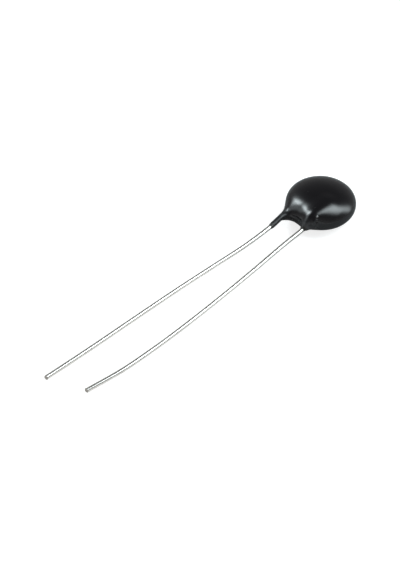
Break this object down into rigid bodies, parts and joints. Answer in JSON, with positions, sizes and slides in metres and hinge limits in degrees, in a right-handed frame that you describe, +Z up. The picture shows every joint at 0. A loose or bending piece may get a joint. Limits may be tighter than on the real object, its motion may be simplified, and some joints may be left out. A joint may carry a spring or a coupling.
{
  "type": "ntc thermistor",
  "caption": "Disc thermistor dipped in a glossy black coating, with long bare tinned wire leads for soldering into a circuit board.",
  "frame": {"origin": "on the floor under the middle of the part's bounding box, as it lies on the belly of its disc and on both lead tips", "axes": "+Z up from the floor; the disc is at +X and the leads run to -X; +Y is the side of the left lead, which is the one under the disc"},
  "size_m": [0.0656, 0.0126, 0.0058],
  "materials": {
    "black_coat": "glossy black dipped resin, slightly uneven, thin at its edges on the leads",
    "tinned_wire": "bright tinned copper wire with faint draw marks and dull cut ends",
    "ceramic": "dark grey sintered metal oxide, matt",
    "silver": "fired silver paste, satin",
    "solder": "bright tin solder"
  },
  "bodies": {
    "root": {"coating": "black_coat", "lead_left": "tinned_wire", "lead_right": "tinned_wire", "ceramic_disc": "ceramic", "electrode_top": "silver", "electrode_bottom": "silver", "solder_top": "solder", "solder_bottom": "solder"}
  },
  "joints": []
}
